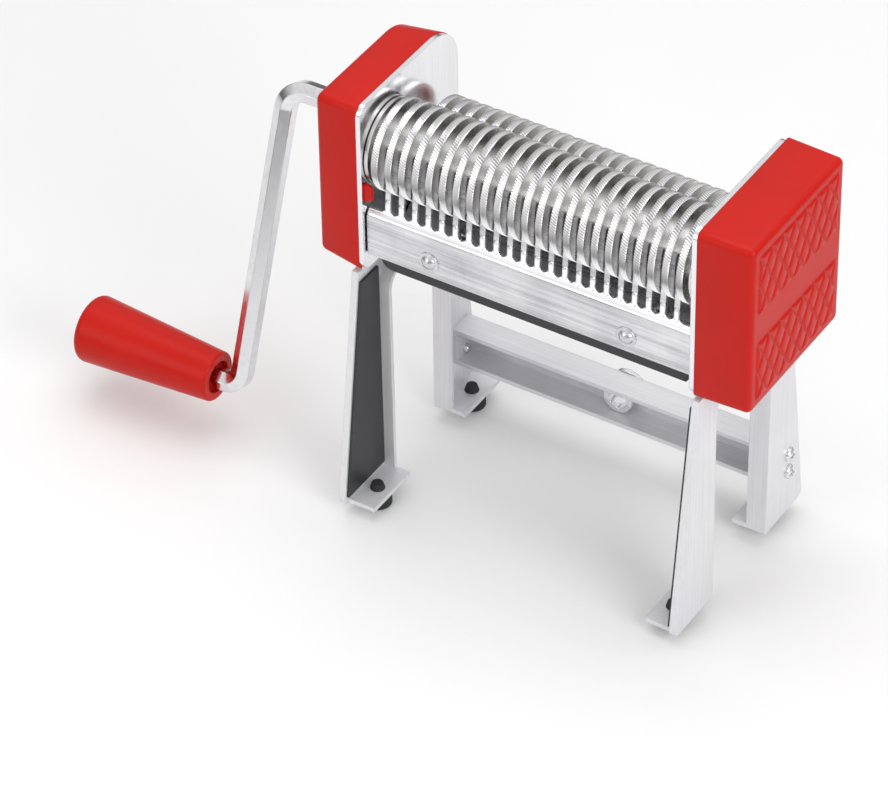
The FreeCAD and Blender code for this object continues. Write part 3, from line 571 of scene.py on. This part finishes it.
def rail_screw(name):
    """Round-headed screw with a cross recess, on the X axis, its head towards +X."""
    head_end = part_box("rail_screws")[1].x
    seat = head_end - screw_head_h
    tip = min(abs(vertex.co.x) for vertex in nodes["rail_screws"].data.vertices)
    profile = [(tip, screw_r - screw_tip), (tip + screw_tip, screw_r), (seat, screw_r), (seat, screw_head_r)]
    for share in screw_head_dome:
        domed_r = screw_head_r * math.sqrt(screw_head_flat - share ** 3)
        profile.append((seat + share * screw_head_h, domed_r))
    screw = turned(name, profile, Vector(), screw_steps)
    middle = Vector((head_end, 0, 0))
    for wide, tall in ((recess_length, recess_width), (recess_width, recess_length)):
        reach = Vector((recess_depth, wide / 2, tall / 2))
        combine(screw, block("recess", middle - reach, middle + reach), "DIFFERENCE")
    return screw


def rail_screws():
    """The four screws of the rail: one modelled, and a copy of it at each place."""
    low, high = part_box("rail_screws")
    middle_y = (low.y + high.y) / 2
    pattern = rail_screw("rail_screw")
    copies = []
    for turn in (math.pi, 0):
        for z in (low.z + screw_head_r, high.z - screw_head_r):
            copies.append(placed_copy(pattern, (0, middle_y, z), turn))
    bpy.data.objects.remove(pattern)
    screws = joined(*copies)
    screws.name = "screws_of_rail"
    screws.data.name = "screws_of_rail"
    smoothed(screws, turned_sharp_angle)
    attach(screws, "frame")
    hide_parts("rail_screws")
    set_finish(screws, "bright_steel")
    return screws


def effect(name, inputs, outputs):
    """New shader node group with number inputs and outputs; a Vector input comes first."""
    tree = bpy.data.node_groups.new(name, "ShaderNodeTree")
    tree.interface.new_socket("Vector", in_out="INPUT", socket_type="NodeSocketVector")
    for socket, value in inputs.items():
        tree.interface.new_socket(socket, in_out="INPUT", socket_type="NodeSocketFloat").default_value = value
    for socket in outputs:
        tree.interface.new_socket(socket, in_out="OUTPUT", socket_type="NodeSocketFloat")
    return tree, tree.nodes.new("NodeGroupInput"), tree.nodes.new("NodeGroupOutput")


def add_node(tree, kind, **sockets):
    """New node with the given socket values, or links where the value is a socket."""
    made = tree.nodes.new(kind)
    for socket, value in sockets.items():
        target = made.inputs[socket.replace("_", " ")]
        if isinstance(value, bpy.types.NodeSocket):
            tree.links.new(value, target)
        else:
            target.default_value = value
    return made


def between(tree, value, low, high, to_low=0.0, to_high=1.0):
    """Stretch a value from one range to another, clamped."""
    made = add_node(tree, "ShaderNodeMapRange", Value=value, From_Min=low, From_Max=high,
                    To_Min=to_low, To_Max=to_high)
    return made.outputs["Result"]


def math_of(tree, operation, first, second):
    made = tree.nodes.new("ShaderNodeMath")
    made.operation = operation
    for socket, value in zip(made.inputs, (first, second)):
        if isinstance(value, bpy.types.NodeSocket):
            tree.links.new(value, socket)
        else:
            socket.default_value = value
    return made.outputs["Value"]


def smudge_effect():
    """Broad soft patches, as handling leaves them."""
    tree, given, put = effect("Handling Smudges", {"Scale": 45.0, "Contrast": 0.25}, ["Smudge"])
    noise = add_node(tree, "ShaderNodeTexNoise", Vector=given.outputs["Vector"], Scale=given.outputs["Scale"],
                     Detail=5.0, Roughness=0.6)
    low = math_of(tree, "SUBTRACT", 0.5, given.outputs["Contrast"])
    high = math_of(tree, "ADD", 0.5, given.outputs["Contrast"])
    tree.links.new(between(tree, noise.outputs["Fac"], low, high), put.inputs["Smudge"])
    return tree


def grain_effect():
    """Fine skin of moulded plastic and rubber."""
    tree, given, put = effect("Moulded Grain", {"Scale": 2600.0}, ["Grain"])
    fine = add_node(tree, "ShaderNodeTexNoise", Vector=given.outputs["Vector"], Scale=given.outputs["Scale"],
                    Detail=3.0, Roughness=0.55)
    coarse = math_of(tree, "MULTIPLY", given.outputs["Scale"], 0.16)
    broad = add_node(tree, "ShaderNodeTexNoise", Vector=given.outputs["Vector"], Scale=coarse, Detail=2.0)
    total = math_of(tree, "ADD", fine.outputs["Fac"], broad.outputs["Fac"])
    tree.links.new(math_of(tree, "MULTIPLY", total, 0.5), put.inputs["Grain"])
    return tree


def brushed_effect():
    """Fine lines along the direction in which the given vector is squeezed."""
    tree, given, put = effect("Brushed Lines", {"Scale": 1.0}, ["Lines", "Scratches"])
    lines = add_node(tree, "ShaderNodeTexNoise", Vector=given.outputs["Vector"], Scale=given.outputs["Scale"],
                     Detail=4.0, Roughness=0.7)
    sparse = math_of(tree, "MULTIPLY", given.outputs["Scale"], 0.35)
    marks = add_node(tree, "ShaderNodeTexNoise", Vector=given.outputs["Vector"], Scale=sparse, Detail=2.0)
    tree.links.new(lines.outputs["Fac"], put.inputs["Lines"])
    tree.links.new(between(tree, marks.outputs["Fac"], 0.66, 0.74), put.inputs["Scratches"])
    return tree


def wear_effect():
    """Softened edges: the rounded normal, and a mask of where it leaves the true one, broken by noise."""
    tree, given, put = effect("Edge Wear", {"Radius": 0.0006, "Amount": 1.0}, ["Edge"])
    tree.interface.new_socket("Rounded", in_out="OUTPUT", socket_type="NodeSocketVector")
    rounded = add_node(tree, "ShaderNodeBevel", Radius=given.outputs["Radius"]).outputs["Normal"]
    tree.links.new(rounded, put.inputs["Rounded"])
    true_normal = tree.nodes.new("ShaderNodeNewGeometry").outputs["Normal"]
    facing = tree.nodes.new("ShaderNodeVectorMath")
    facing.operation = "DOT_PRODUCT"
    tree.links.new(rounded, facing.inputs[0])
    tree.links.new(true_normal, facing.inputs[1])
    edge = between(tree, facing.outputs["Value"], 0.995, 0.8)
    noise = add_node(tree, "ShaderNodeTexNoise", Vector=given.outputs["Vector"], Scale=600.0, Detail=4.0)
    broken = math_of(tree, "MULTIPLY", edge, between(tree, noise.outputs["Fac"], 0.35, 0.65, 0.2, 1.0))
    tree.links.new(math_of(tree, "MULTIPLY", broken, given.outputs["Amount"]), put.inputs["Edge"])
    return tree


effects = {"smudge": smudge_effect(), "grain": grain_effect(), "brushed": brushed_effect(),
           "wear": wear_effect()}


def place(tree, name, vector, **values):
    """Put a shared effect into a material."""
    made = tree.nodes.new("ShaderNodeGroup")
    made.node_tree = effects[name]
    tree.links.new(vector, made.inputs["Vector"])
    for socket, value in values.items():
        made.inputs[socket].default_value = value
    return made


def new_material(name):
    """Material with its Principled BSDF and Object coordinates."""
    material = bpy.data.materials.new(name)
    material.use_nodes = True
    tree = material.node_tree
    shader = tree.nodes["Principled BSDF"]
    coordinates = tree.nodes.new("ShaderNodeTexCoord").outputs["Object"]
    return material, tree, shader, coordinates


def stretched(tree, coordinates, scale):
    mapping = add_node(tree, "ShaderNodeMapping", Vector=coordinates, Scale=scale)
    return mapping.outputs["Vector"]


def colour_mix(tree, factor, *colours):
    """Mix of two colours, each a plain colour or a socket."""
    made = tree.nodes.new("ShaderNodeMix")
    made.data_type = "RGBA"
    tree.links.new(factor, made.inputs["Factor"])
    for socket, colour in zip([socket for socket in made.inputs if socket.type == "RGBA"], colours):
        if isinstance(colour, bpy.types.NodeSocket):
            tree.links.new(colour, socket)
        else:
            socket.default_value = (*colour, 1)
    return [socket for socket in made.outputs if socket.type == "RGBA"][0]


def bumped(tree, shader, height, distance, strength, **normal):
    bump = add_node(tree, "ShaderNodeBump", Height=height, Distance=distance, Strength=strength, **normal)
    tree.links.new(bump.outputs["Normal"], shader.inputs["Normal"])


def moulded(name, colour, worn, roughness, gloss, grain_scale, grain_depth):
    """Moulded plastic: slight shifts of colour, fine skin, smudged gloss and paler rubbed edges."""
    material, tree, shader, coordinates = new_material(name)
    shader.inputs["Specular IOR Level"].default_value = gloss
    smudge = place(tree, "smudge", coordinates, Scale=55.0, Contrast=0.3).outputs["Smudge"]
    grain = place(tree, "grain", coordinates, Scale=grain_scale).outputs["Grain"]
    wear = place(tree, "wear", coordinates, Radius=rubbed_edge_r, Amount=0.5)
    darker = tuple(channel * smudge_darkening for channel in colour)
    body = colour_mix(tree, smudge, darker, colour)
    tree.links.new(colour_mix(tree, wear.outputs["Edge"], body, worn), shader.inputs["Base Color"])
    rough = between(tree, smudge, 0.0, 1.0, roughness - smudge_gloss, roughness + smudge_gloss)
    tree.links.new(rough, shader.inputs["Roughness"])
    bumped(tree, shader, grain, grain_depth, 0.5, Normal=wear.outputs["Rounded"])
    return material


def brushed_base(tree, shader, coordinates, bright, dull, roughness, spread, stretch, metallic=1.0):
    """Bare metal with lines along one direction and smudges; returns its colour and the lines."""
    shader.inputs["Metallic"].default_value = metallic
    lines = place(tree, "brushed", stretched(tree, coordinates, stretch), Scale=1.0)
    smudge = place(tree, "smudge", coordinates, Scale=38.0, Contrast=0.28).outputs["Smudge"]
    streaks = between(tree, lines.outputs["Lines"], 0.36, 0.64, 0.0, 0.5)
    mixed = math_of(tree, "ADD", streaks, math_of(tree, "MULTIPLY", smudge, 0.5))
    rough = between(tree, lines.outputs["Lines"], 0.3, 0.7, roughness - spread, roughness + spread)
    patchy = math_of(tree, "MULTIPLY", smudge, spread)
    scratched = math_of(tree, "MULTIPLY", lines.outputs["Scratches"], spread)
    total = math_of(tree, "ADD", math_of(tree, "ADD", rough, patchy), scratched)
    tree.links.new(total, shader.inputs["Roughness"])
    return colour_mix(tree, mixed, dull, bright), lines.outputs["Lines"]


def handled(tree, shader, coordinates, body, polished, edge_r, lines, line_depth):
    """Colour and bump of bare metal, its edges rounded and polished by handling."""
    wear = place(tree, "wear", coordinates, Radius=edge_r, Amount=0.6)
    tree.links.new(colour_mix(tree, wear.outputs["Edge"], body, polished), shader.inputs["Base Color"])
    bumped(tree, shader, lines, line_depth, line_strength, Normal=wear.outputs["Rounded"])


def metal(name, bright, dull, roughness, spread, stretch, line_depth, edge_r, metallic=1.0):
    """Sheet or bar metal."""
    material, tree, shader, coordinates = new_material(name)
    body, lines = brushed_base(tree, shader, coordinates, bright, dull, roughness, spread, stretch, metallic)
    polished = tuple(min(1.0, channel * edge_polish) for channel in bright)
    handled(tree, shader, coordinates, body, polished, edge_r, lines, line_depth)
    return material


def comb_metal(name, bright, dull, roughness, spread, stretch, line_depth, edge_r):
    """Sheet steel of the front comb, with a painted highlight where the fingers leave the crease."""
    material, tree, shader, coordinates = new_material(name)
    body, lines = brushed_base(tree, shader, coordinates, bright, dull, roughness, spread, stretch)
    height = add_node(tree, "ShaderNodeSeparateXYZ", Vector=coordinates).outputs["Z"]
    root_top = crease_z + root_length
    rise = between(tree, height, crease_z, crease_z + root_rise)
    fall = between(tree, height, root_top, root_top + root_rise, 1.0, 0.0)
    # Painted highlight: a near-white band on the finger roots just above the crease, laid over the body colour
    rubbed = colour_mix(tree, math_of(tree, "MULTIPLY", rise, fall), body, root_highlight_white)
    handled(tree, shader, coordinates, rubbed, bright, edge_r, lines, line_depth)
    return material


def roller_metal(name, axis):
    """Turned steel: knurled rims with painted shade in their valleys, painted shade on the disc sides and lighter
    painted shade on the groove floors.
    """
    material, tree, shader, coordinates = new_material(name)
    body, lines = brushed_base(tree, shader, coordinates, bright=(0.97, 0.97, 0.98), dull=(0.86, 0.86, 0.88),
                               roughness=0.24, spread=0.06, stretch=round_x)
    from_axis = add_node(tree, "ShaderNodeMapping", Vector=coordinates, Location=(0, -axis.y, -axis.z),
                         Scale=(0, 1, 1)).outputs["Vector"]
    length = tree.nodes.new("ShaderNodeVectorMath")
    length.operation = "LENGTH"
    tree.links.new(from_axis, length.inputs[0])
    radius = length.outputs["Value"]
    side = between(tree, radius, groove_r + 0.1 * MM, groove_r + MM)
    rim = between(tree, radius, disc_r - 1.7 * knurl_depth, disc_r - 1.2 * knurl_depth)
    ridge = between(tree, radius, disc_r - knurl_depth, disc_r - 0.3 * knurl_depth)
    # Painted shade: darker grey in the valleys of the knurl
    knurled = colour_mix(tree, ridge, valley_shade_grey, body)
    # Painted shade between the discs: darker on the disc sides, lighter on the groove floors
    shade_between_discs = colour_mix(tree, side, groove_shade_grey, disc_side_shade_grey)
    tree.links.new(colour_mix(tree, rim, shade_between_discs, knurled), shader.inputs["Base Color"])
    bumped(tree, shader, lines, 0.01 * MM, line_strength)
    return material


# Wear of plastic and metal
rubbed_edge_r = 0.6 * MM
smudge_darkening = 0.88
smudge_gloss = 0.06
edge_polish = 1.08
line_strength = 0.6

# Colours of parts of a surface, painted highlight and painted shade among them
# Painted highlight on the comb's finger roots
root_highlight_white = (0.99, 0.99, 1.0)
# Painted shade in the knurl valleys
valley_shade_grey = (0.42, 0.41, 0.4)
# Painted shade between the discs: lighter on the groove floors, darker on the disc sides
groove_shade_grey = (0.88, 0.88, 0.88)
disc_side_shade_grey = (0.68, 0.67, 0.66)

# Stretch of the brushed lines: small along the lines
along_x = (14, 1500, 1500)
along_z = (1500, 1500, 16)
round_x = (2600, 30, 30)
rolled_x = (7, 380, 380)
all_ways = (420, 420, 420)

# Finishes that more than one material has
chrome = {"bright": (0.9, 0.9, 0.92), "dull": (0.72, 0.72, 0.75), "roughness": 0.13, "spread": 0.05,
          "line_depth": 0.005 * MM, "edge_r": 0.4 * MM}
silver = {"bright": (0.78, 0.78, 0.8), "dull": (0.62, 0.62, 0.65), "roughness": 0.45, "spread": 0.08,
          "line_depth": 0.012 * MM, "edge_r": 0.5 * MM, "metallic": 0.4}
sheet = {"bright": (0.92, 0.92, 0.94), "dull": (0.33, 0.33, 0.36), "roughness": 0.24, "spread": 0.12,
         "stretch": rolled_x, "line_depth": 0.03 * MM, "edge_r": 0.3 * MM}

# The finish of each slot
materials = {
    "red_plastic": moulded("moulded_red", colour=(0.5, 0.008, 0.003), worn=(0.62, 0.04, 0.028),
                           roughness=0.36, gloss=0.17, grain_scale=2600.0, grain_depth=0.05 * MM),
    "dark_plastic": moulded("dark_moulding", colour=(0.03, 0.03, 0.034), worn=(0.08, 0.08, 0.09),
                            roughness=0.42, gloss=0.35, grain_scale=2200.0, grain_depth=0.06 * MM),
    "rubber": moulded("black_rubber", colour=(0.022, 0.022, 0.023), worn=(0.05, 0.05, 0.05),
                      roughness=0.72, gloss=0.4, grain_scale=1700.0, grain_depth=0.1 * MM),
    "bright_steel": metal("bright_chrome", stretch=along_z, **chrome),
    "leg_steel": metal("satin_silver", stretch=along_z, **silver),
    "comb_steel": metal("sheet_steel", **sheet),
    "gear_steel": metal("machined_steel", bright=(0.62, 0.62, 0.64), dull=(0.45, 0.45, 0.47), roughness=0.34,
                        spread=0.08, stretch=along_x, line_depth=0.01 * MM, edge_r=0.3 * MM),
    "bearing_bronze": metal("oiled_bronze", bright=(0.62, 0.42, 0.17), dull=(0.42, 0.27, 0.1), roughness=0.33,
                            spread=0.08, stretch=round_x, line_depth=0.01 * MM, edge_r=0.3 * MM),
}

# Pieces whose finish differs from that of their slot
bar_chrome = metal("bar_chrome", bright=(0.86, 0.86, 0.88), dull=(0.64, 0.64, 0.67), roughness=0.12,
                   spread=0.05, stretch=all_ways, line_depth=0.004 * MM, edge_r=0.8 * MM)
rivet_chrome = metal("rivet_chrome", bright=(0.74, 0.74, 0.76), dull=(0.5, 0.5, 0.53), roughness=0.24,
                     spread=0.06, stretch=all_ways, line_depth=0.004 * MM, edge_r=0.3 * MM)
rod_chrome = metal("rod_chrome", stretch=round_x, **chrome)
other_finish = {
    "crank": bar_chrome,
    "screws_of_rail": bar_chrome,
    "tie_rod": rod_chrome,
    "clamp_bush": rod_chrome,
    "clamp_rail": metal("rail_silver", stretch=along_x, **silver),
    "front_comb": comb_metal("fingered_sheet", **sheet),
    "front_comb_rivets": rivet_chrome,
    "rear_comb_rivets": rivet_chrome,
    "roller_front": roller_metal("front_roller_steel", front_axis),
    "roller_rear": roller_metal("rear_roller_steel", rear_axis),
}


def dress(piece, name, slot):
    """Give a piece its own finish, or that of its slot."""
    piece.data.materials.clear()
    piece.data.materials.append(other_finish[name] if name in other_finish else materials[slot])


def dress_nodes():
    for subpart in frame["record"]["subparts"]:
        slot = subpart["material_slot"]
        if slot in materials:
            dress(nodes[subpart["node"]], subpart["node"], slot)


# Floor, and the brightness of the surroundings by height
floor_size = 6.0
floor_greys = ((0.78, 0.78, 0.78), (0.8, 0.8, 0.8))
horizon_height = 0.05
dome_height = 0.5
horizon_level = 0.2
dome_level = 1.25
surround_strength = 0.7


def pale_floor():
    bpy.ops.object.select_all(action="DESELECT")
    bpy.ops.mesh.primitive_plane_add(size=floor_size, location=(0, 0, floor_z))
    floor = settle("floor")
    material, tree, shader, coordinates = new_material("pale_floor")
    smudge = place(tree, "smudge", coordinates, Scale=6.0, Contrast=0.4).outputs["Smudge"]
    tree.links.new(colour_mix(tree, smudge, *floor_greys), shader.inputs["Base Color"])
    shader.inputs["Roughness"].default_value = 0.6
    floor.data.materials.append(material)


def soft_light(name, place_at, aim, size, power):
    data = bpy.data.lights.new(name, "AREA")
    data.size = size
    data.energy = power
    lamp = bpy.data.objects.new(name, data)
    bpy.context.scene.collection.objects.link(lamp)
    lamp.location = place_at
    lamp.rotation_mode = "QUATERNION"
    lamp.rotation_quaternion = (Vector(aim) - Vector(place_at)).to_track_quat("-Z", "Y")


def studio():
    """Bright surroundings that darken towards the horizon, and three large soft lights."""
    world = bpy.data.worlds.new("studio")
    bpy.context.scene.world = world
    world.use_nodes = True
    tree = world.node_tree
    direction = tree.nodes.new("ShaderNodeTexCoord").outputs["Generated"]
    height = add_node(tree, "ShaderNodeSeparateXYZ", Vector=direction).outputs["Z"]
    level = between(tree, height, horizon_height, dome_height, horizon_level, dome_level)
    background = tree.nodes["Background"]
    grey = add_node(tree, "ShaderNodeCombineColor", Red=level, Green=level, Blue=level)
    tree.links.new(grey.outputs["Color"], background.inputs["Color"])
    background.inputs["Strength"].default_value = surround_strength
    aim = (front_axis + rear_axis) / 2
    soft_light("overhead", (-0.1, 0.05, 1.1), aim, size=0.9, power=4.5)
    soft_light("front_right", (1.25, -0.6, 0.75), aim, size=0.8, power=11.0)
    soft_light("front_left", (-0.5, -1.1, 0.5), aim, size=0.6, power=2.2)


# Camera fitted to the corners of both end caps in the photograph
camera_azimuth = math.radians(32.66)
camera_elevation = math.radians(39.75)
camera_roll = math.radians(-1.0)
camera_distance = 2.0
camera_target = Vector((-37.45 * MM, head_low.y, head_low.z - 50.0 * MM))
focal_pixels = 4987.0
image_width = 888


def photo_camera():
    data = bpy.data.cameras.new("camera")
    data.sensor_width = 36.0
    data.lens = data.sensor_width * focal_pixels / image_width
    data.clip_end = 20.0
    camera = bpy.data.objects.new("camera", data)
    bpy.context.scene.collection.objects.link(camera)
    level = math.cos(camera_elevation)
    back = Vector((math.sin(camera_azimuth) * level, -math.cos(camera_azimuth) * level,
                   math.sin(camera_elevation)))
    camera.location = camera_target + back * camera_distance
    camera.rotation_mode = "QUATERNION"
    camera.rotation_quaternion = (-back).to_track_quat("-Z", "Y") @ Quaternion((0, 0, 1), camera_roll)
    bpy.context.scene.camera = camera


dress_nodes()
for made in (cap_right(), cap_left(), *both_rollers(), rail_screws()):
    dress(made, made.name, made["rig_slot"])
pale_floor()
studio()
photo_camera()
bpy.context.scene.view_settings.view_transform = "Standard"
